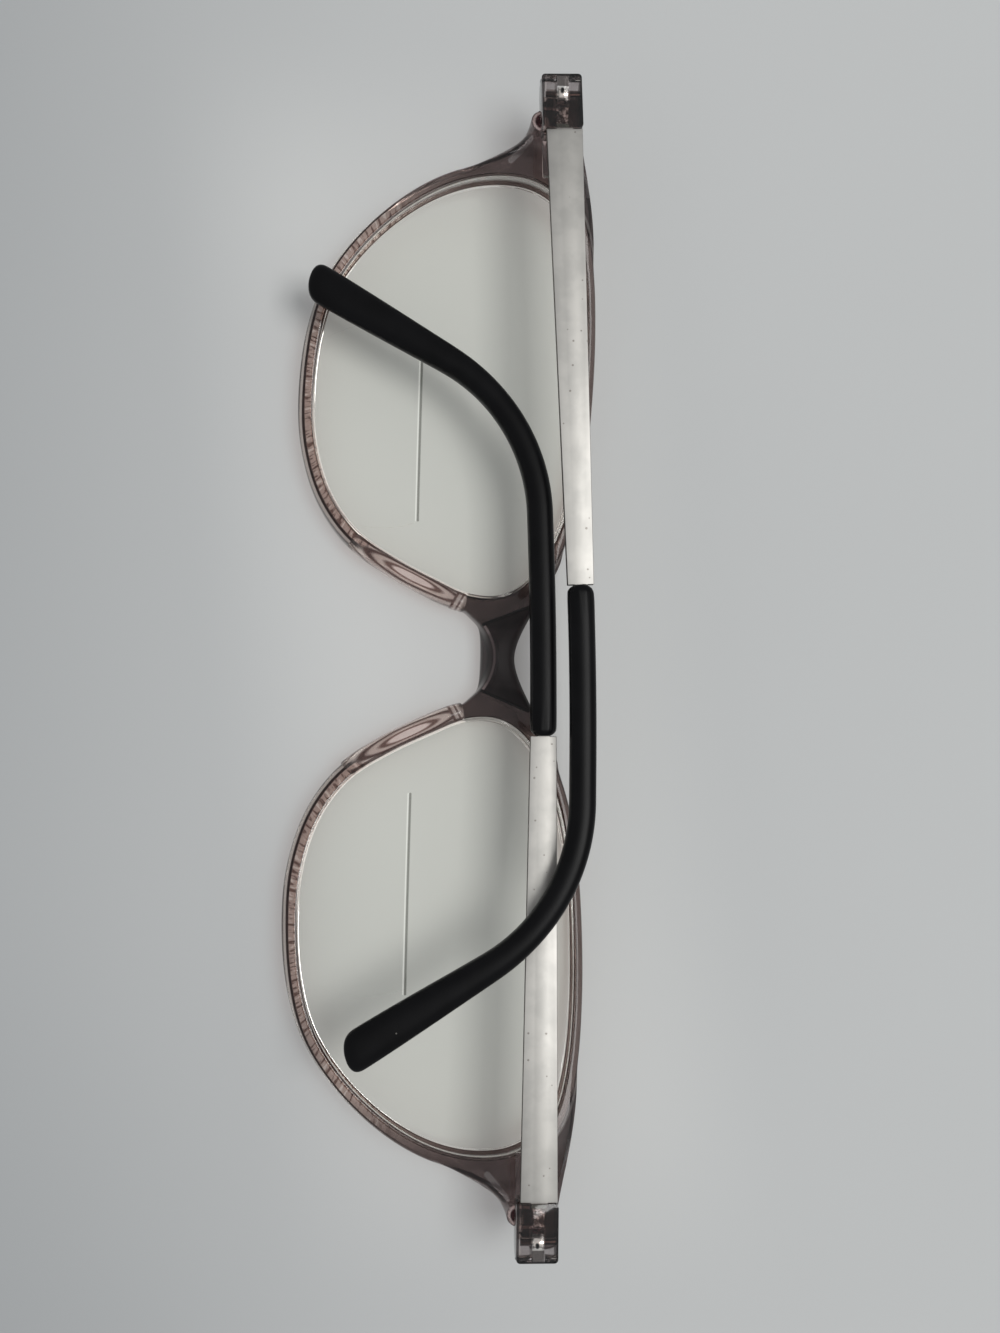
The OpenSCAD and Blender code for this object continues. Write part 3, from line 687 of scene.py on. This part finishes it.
def lens_plastic():
    """Clear coated lens with a faint yellow tinge, a ground edge and the step of its reading segment, drawn as
    a painted dark line with a glowing painted highlight below it.
    """
    material, tree, shader, output = new_material("lens_plastic")
    edge = below(tree, facing_up(tree), 0.5, 0.8)
    ticks = noise(tree, object_place(tree), 1500.0, 4.0, 0.7)
    ground = mix_colours(tree, rise(tree, ticks, 0.42, 0.62), (0.95, 0.86, 0.83, 1), (0.45, 0.30, 0.26, 1))
    colour = mix_colours(tree, edge, (0.99, 0.99, 0.97, 1), ground)
    (inner, low), (outer, _) = SEGMENT_LINE
    # The step of the reading segment: a line of painted shade, and just below it a line of painted highlight
    step = line(tree, (inner, low + 0.08), (outer, low + 0.08), 0.40)
    painted_gleam = line(tree, (inner, low - 0.16), (outer, low - 0.16), 0.30)
    colour = mix_colours(tree, times(tree, step, 0.8), colour, (0.30, 0.30, 0.28, 1))
    join(tree, seen_once(tree, colour, 1.0), shader, "Base Color")
    entering = opposite(tree, leaving(tree))
    # Painted highlight: the line below the step glows where the eye's ray enters
    painted_shine = both(tree, entering, both(tree, painted_gleam, below(tree, step, 0.0, 0.2)))
    join(tree, mix_colours(tree, painted_shine, BLACK, (0.40, 0.40, 0.38, 1)), shader, "Emission Color")
    join(tree, times(tree, edge, 0.45), shader, "Roughness")
    bump(tree, shader, times(tree, edge, ticks), 0.03)
    set_shader(shader, Transmission_Weight=1.0, IOR=1.5, Emission_Strength=0.5)
    drawn = both(tree, entering, either(tree, step, painted_gleam))
    let_lamps_through(tree, shader, output, (1.0, 1.0, 0.985, 1), opposite(tree, either(tree, edge, drawn)))
    return material


def pad_plastic():
    """Clear pinkish pad plastic, whose hollow underside shows as rings round a pale middle, painted as dark and
    pale rings with a painted glow in the middle.
    """
    material, tree, shader, output = new_material("pad_plastic")
    part = place_parts(tree)
    beyond = beyond_lens(tree)
    from_end = below_pad_end(tree, size_of(tree, part["X"]), part["Y"])
    ahead = minus(tree, maths(tree, "DIVIDE", from_end, math.dist(*PAD_ENDS) / 2), 1.0)
    ring = length(tree, vector(tree, X=minus(tree, beyond, PAD_MIDDLE_BEYOND), Y=ahead))
    clouds = mottled(tree, (1.0, 1.0, 1.0), (0.95, 0.93, 0.92), 260.0)
    colour = multiply_colours(tree, ramp(tree, ring, PAD_RINGS), clouds)
    colour = mix_colours(tree, below(tree, from_end, 1.75, 1.85), colour, ramp(tree, from_end, PAD_END_COLOURS))
    lens_side = both(tree, rise(tree, beyond, -0.35, -0.25), below(tree, beyond, 0.05, 0.2))
    colour = mix_colours(tree, times(tree, lens_side, 0.85), colour, (0.10, 0.055, 0.05, 1))
    join(tree, seen_once(tree, colour, 0.6), shader, "Base Color")
    roughness, height = rubbed(tree, 700.0, 0.04, 0.12)
    join(tree, roughness, shader, "Roughness")
    bump(tree, shader, height, 0.006)
    # Painted light: the pad's middle glows faintly
    middle = below(tree, ring, 0.34, 0.42)
    join(tree, mix_colours(tree, middle, BLACK, (0.10, 0.085, 0.08, 1)), shader, "Emission Color")
    set_shader(shader, Transmission_Weight=1.0, IOR=1.42, Emission_Strength=0.5)
    let_lamps_through(tree, shader, output, (0.96, 0.93, 0.92, 1))
    return material


def block_plastic():
    """Smoky clear plastic of the butt blocks: dark round the metal in them, clearer at their outer end."""
    material, tree, shader, output = new_material("block_plastic")
    part = place_parts(tree)
    outward = size_of(tree, part["X"])
    aside = size_of(tree, minus(tree, part["Y"], BLOCK_MIDDLE * MM))
    smoke = mottled(tree, (0.145, 0.098, 0.088), (0.105, 0.070, 0.063), 420.0)
    pale = mottled(tree, (0.52, 0.48, 0.48), (0.42, 0.38, 0.38), 420.0)
    colour = mix_colours(tree, rise(tree, outward, 66.55 * MM, 66.7 * MM), smoke, pale)

    # The strip's tongue and the leaf's eye seen through the middle, and the open slot beyond them: the tongue's
    # glints and the eye's pale colour are painted reflections of the metal
    slot = below(tree, aside, 0.62 * MM, 0.76 * MM)
    slot_end = rise(tree, outward, 67.1 * MM, 67.2 * MM)
    painted_glints = noise(tree, object_place(tree), 1900.0, 4.0, 0.7)
    tongue = mix_colours(tree, rise(tree, painted_glints, 0.45, 0.6), (0.13, 0.09, 0.085, 1), (0.92, 0.80, 0.78, 1))
    seen = mix_colours(tree, rise(tree, outward, 65.3 * MM, 65.7 * MM), tongue, (0.90, 0.87, 0.85, 1))
    colour = mix_colours(tree, both(tree, slot, opposite(tree, slot_end)), colour, seen)
    colour = mix_colours(tree, both(tree, slot, slot_end), colour, (0.16, 0.14, 0.135, 1))
    colour = mix_colours(tree, line(tree, *HOOK_HOLE, 0.55), colour, (0.008, 0.006, 0.006, 1))
    colour = mix_colours(tree, line(tree, *BLOCK_WINDOW, 0.6), colour, (0.30, 0.31, 0.28, 1))

    # Painted shade: near-black along the block's sides and outer end
    rim = either(tree, rise(tree, aside, 1.95 * MM, 2.1 * MM), rise(tree, outward, 68.3 * MM, 68.4 * MM))
    colour = mix_colours(tree, rim, colour, (0.03, 0.025, 0.025, 1))
    # Painted highlight: a pale line along one side edge of the block
    colour = mix_colours(tree, line(tree, *BLOCK_EDGE_HIGHLIGHT, 0.28), colour, (0.70, 0.63, 0.61, 1))
    plate = below(tree, outward, 61.8 * MM, 61.9 * MM)
    colour = mix_colours(tree, plate, colour, (0.97, 0.92, 0.91, 1))
    join(tree, colour, shader, "Base Color")
    roughness, height = rubbed(tree, 900.0, 0.02, 0.10)
    join(tree, roughness, shader, "Roughness")
    bump(tree, shader, height, 0.004)
    set_shader(shader, Transmission_Weight=1.0, IOR=1.45)
    let_lamps_through(tree, shader, output, (0.66, 0.61, 0.60, 1))
    return material


def strip_metal():
    """Pale blasted titanium with tiny pits, with painted shade on its narrow sides and towards the hinges."""
    material, tree, shader, _ = new_material("strip_metal")
    pits = use_group(tree, SPECKS, {"Scale": 1000.0, "Size": 0.15, "Share": 0.34}).outputs["Mask"]
    colour = mottled(tree, (0.485, 0.472, 0.446), (0.430, 0.420, 0.398), 300.0)
    colour = mix_colours(tree, times(tree, pits, 0.7), colour, (0.20, 0.18, 0.16, 1))
    # Painted shade: the narrow side faces are darker
    sides = below(tree, facing_up(tree), 0.5, 0.85)
    colour = mix_colours(tree, sides, colour, (0.12, 0.11, 0.10, 1))
    # Painted shade: darker towards the hinge ends, where the strip reflects less light
    ends = rise(tree, size_of(tree, place_parts(tree)["X"]), 46 * MM, 60 * MM)
    colour = mix_colours(tree, times(tree, ends, 0.16), colour, (0.08, 0.08, 0.075, 1))
    join(tree, colour, shader, "Base Color")
    roughness, height = rubbed(tree, 420.0, 0.42, 0.58)
    join(tree, roughness, shader, "Roughness")
    bump(tree, shader, minus(tree, height, pits), 0.006)
    set_shader(shader, Metallic=1.0)
    return material


def hinge_metal():
    """Polished steel of the hinge leaves and pins."""
    material, tree, shader, _ = new_material("hinge_metal")
    join(tree, mottled(tree, (0.86, 0.84, 0.81), (0.78, 0.76, 0.73), 600.0), shader, "Base Color")
    roughness, height = rubbed(tree, 1500.0, 0.10, 0.24)
    join(tree, roughness, shader, "Roughness")
    bump(tree, shader, height, 0.004)
    set_shader(shader, Metallic=1.0)
    return material


def tip_plastic():
    """Matte black soft plastic of the ear tips, with a few pale dust specks."""
    material, tree, shader, _ = new_material("tip_plastic")
    dust = use_group(tree, SPECKS, {"Scale": 420.0, "Size": 0.07, "Share": 0.10}).outputs["Mask"]
    colour = mottled(tree, (0.0018, 0.0018, 0.0022), (0.003, 0.003, 0.0036), 200.0)
    colour = mix_colours(tree, times(tree, dust, 0.5), colour, (0.25, 0.24, 0.22, 1))
    join(tree, colour, shader, "Base Color")
    roughness, _ = rubbed(tree, 800.0, 0.27, 0.36)
    join(tree, roughness, shader, "Roughness")
    grain = noise(tree, object_place(tree), 6000.0, 2.0)
    bump(tree, shader, plus(tree, grain, dust), 0.006)
    set_shader(shader, Specular_IOR_Level=0.10)
    return material


# Pieces

# Where the ear tips start along X in millimetres, and the way they run from there
TIP_STARTS = {"left": (-8.09, 1), "right": (9.4, -1)}
TIP_ROUND = 1.1 * MM
TIP_RINGS = (0.12, 0.35, 0.65, 1.0)
TIP_CORE = (1.0 * MM, 0.75 * MM)
TIP_FLATTEN = 0.4


def front_frame(material, sides):
    bm = merged_copy("front")
    note_lens_distance(bm, sides)
    join_triangles(bm)
    crease_edges(bm, 55.0, 0.8)
    return new_piece("front_frame", bm, "front", material, ["front"], 50.0, 2)


def lens(side, material):
    node = f"lens_{side}"
    bm = merged_copy(node)
    return new_piece(f"clear_{node}", bm, "front", material, [node], 20.0)


def nose_pad(side, material, sides):
    node = f"nose_pad_{side}"
    bm = merged_copy(node)
    note_lens_distance(bm, sides)
    join_triangles(bm)
    return new_piece(f"clear_{node}", bm, "front", material, [node], 80.0, 2)


def rounded_part(node, name, body, material, width):
    """A metal piece or block with its edges rounded by that width."""
    bm = merged_copy(node)
    join_flat_faces(bm)
    bevel_edges(bm, 35.0, width)
    return new_piece(name, bm, body, material, [node], 30.0)


def round_tip_start(bm, start, way):
    """Rounds the corners of an ear tip's start, clear of the slot for the strip's core."""
    start *= MM
    for ring in TIP_RINGS:
        place = (start + way * ring * TIP_ROUND, 0, 0)
        everything = bm.verts[:] + bm.edges[:] + bm.faces[:]
        bmesh.ops.bisect_plane(bm, geom=everything, plane_co=place, plane_no=(1, 0, 0))
    near = [v for v in bm.verts if (v.co.x - start) * way < TIP_ROUND * 0.99]
    low = [min(v.co[i] for v in near) for i in range(3)]
    high = [max(v.co[i] for v in near) for i in range(3)]
    middle = [(a + b) / 2 for a, b in zip(low, high)]
    half = [(b - a) / 2 for a, b in zip(low, high)]
    for vert in near:
        aside, over = vert.co.y - middle[1], vert.co.z - middle[2]
        if abs(aside) < TIP_CORE[0] and abs(over) < TIP_CORE[1]:
            continue
        left = TIP_ROUND - max(0.0, (vert.co.x - start) * way)
        pull = TIP_ROUND - math.sqrt(max(0.0, TIP_ROUND**2 - left**2))
        vert.co.y -= pull * aside / half[1]
        vert.co.z -= TIP_FLATTEN * pull * over / half[2]


def ear_tip(side, material):
    node = f"temple_tip_{side}"
    bm = merged_copy(node)
    round_tip_start(bm, *TIP_STARTS[side])
    join_triangles(bm)
    crease_edges(bm, 70.0, 0.35)
    return new_piece(f"soft_{node}", bm, TEMPLE_OF[side], material, [node], 80.0, 2)


def eyeglasses():
    front = front_plastic()
    clear = lens_plastic()
    pads = pad_plastic()
    blocks = block_plastic()
    metal = strip_metal()
    steel = hinge_metal()
    black = tip_plastic()
    lens_outlines = [lens_sides(side) for side in SIDES]
    front_frame(front, lens_outlines)
    for side in SIDES:
        temple = TEMPLE_OF[side]
        lens(side, clear)
        nose_pad(side, pads, lens_outlines)
        rounded_part(f"hinge_leaf_{side}", f"polished_leaf_{side}", "front", steel, 0.12 * MM)
        rounded_part(f"hinge_pin_{side}", f"polished_pin_{side}", temple, steel, 0.06 * MM)
        rounded_part(f"hinge_block_{side}", f"clear_block_{side}", temple, blocks, 0.12 * MM)
        rounded_part(f"temple_strip_{side}", f"blasted_strip_{side}", temple, metal, 0.08 * MM)
        ear_tip(side, black)


# Stage

FLOOR_SIZE = 12.0
FLOOR_DROP = 0.02 * MM
FLOOR_PALE = (0.525, 0.535, 0.535, 1)
FLOOR_PAINTED_SHADE = (0.352, 0.364, 0.372, 1)
FLOOR_PAINTED_LIGHT = (0.60, 0.607, 0.60, 1)
WORLD_COLOUR = (0.97, 0.985, 1.0, 1)
WORLD_LEVEL = 0.57
WINDOW_PLACE = (0.0, 0.34, 0.94)
WINDOW_WIDTH = 0.45
WINDOW_LENGTH = 0.42
WINDOW_POWER = 4.3
WINDOW_COLOUR = (1.0, 0.995, 0.98)


def floor():
    low = CAD_BOX[0].z - FLOOR_DROP
    bm = bmesh.new()
    bmesh.ops.create_grid(bm, x_segments=1, y_segments=1, size=FLOOR_SIZE / 2)
    bmesh.ops.translate(bm, verts=bm.verts, vec=(0, 0, low))
    mesh = bpy.data.meshes.new("floor")
    bm.to_mesh(mesh)
    bm.free()
    piece = bpy.data.objects.new("floor", mesh)
    bpy.context.scene.collection.objects.link(piece)
    material, tree, shader, _ = new_material("floor_paper")
    part = place_parts(tree)

    # Painted shade of the light falling off: dimmer on the side away from the brow, and from further up on the
    # wearer's right
    lift = times(tree, rise(tree, part["X"], 20 * MM, 110 * MM), 30 * MM)
    pale = rise(tree, minus(tree, part["Y"], lift), -95 * MM, 5 * MM)
    ground = mix_colours(tree, pale, FLOOR_PAINTED_SHADE, FLOOR_PALE)

    # Painted light: a little paler under and round the eyeglasses, against the shade they cast
    slanted = minus(tree, part["Y"], times(tree, part["X"], 0.14))
    painted_light_pool = both(tree, rise(tree, slanted, -30 * MM, -6 * MM), below(tree, slanted, 14 * MM, 38 * MM))
    painted_light_pool = both(tree, painted_light_pool, below(tree, size_of(tree, part["X"]), 50 * MM, 82 * MM))
    ground = mix_colours(tree, painted_light_pool, ground, FLOOR_PAINTED_LIGHT)
    clouds = mottled(tree, (0.985, 0.985, 0.985), (1, 1, 1), 9.0)
    join(tree, multiply_colours(tree, ground, clouds), shader, "Base Color")
    set_shader(shader, Roughness=0.8, Specular_IOR_Level=0.2)
    mesh.materials.append(material)


def window_lamp():
    data = bpy.data.lights.new("window", "AREA")
    data.shape = "RECTANGLE"
    data.size = WINDOW_WIDTH
    data.size_y = WINDOW_LENGTH
    data.energy = WINDOW_POWER
    data.color = WINDOW_COLOUR
    lamp = bpy.data.objects.new("window", data)
    bpy.context.scene.collection.objects.link(lamp)
    lamp.location = WINDOW_PLACE
    lamp.rotation_euler = (-Vector(WINDOW_PLACE)).to_track_quat("-Z", "Y").to_euler()


def lights():
    world = bpy.data.worlds.new("room")
    world.use_nodes = True
    background = world.node_tree.nodes["Background"]
    background.inputs["Color"].default_value = WORLD_COLOUR
    background.inputs["Strength"].default_value = WORLD_LEVEL
    bpy.context.scene.world = world
    window_lamp()


def camera():
    data = bpy.data.cameras.new("camera")
    data.sensor_fit = "AUTO"
    data.sensor_width = CAMERA_LONG_SIDE
    data.lens = CAMERA_LENS
    data.clip_start = CAMERA_NEAREST
    made = bpy.data.objects.new("camera", data)
    bpy.context.scene.collection.objects.link(made)
    made.location = CAMERA_PLACE
    made.rotation_euler = [math.radians(a) for a in CAMERA_TURN]
    bpy.context.scene.camera = made


camera()
floor()
lights()
eyeglasses()
bpy.context.scene.view_settings.view_transform = "Standard"
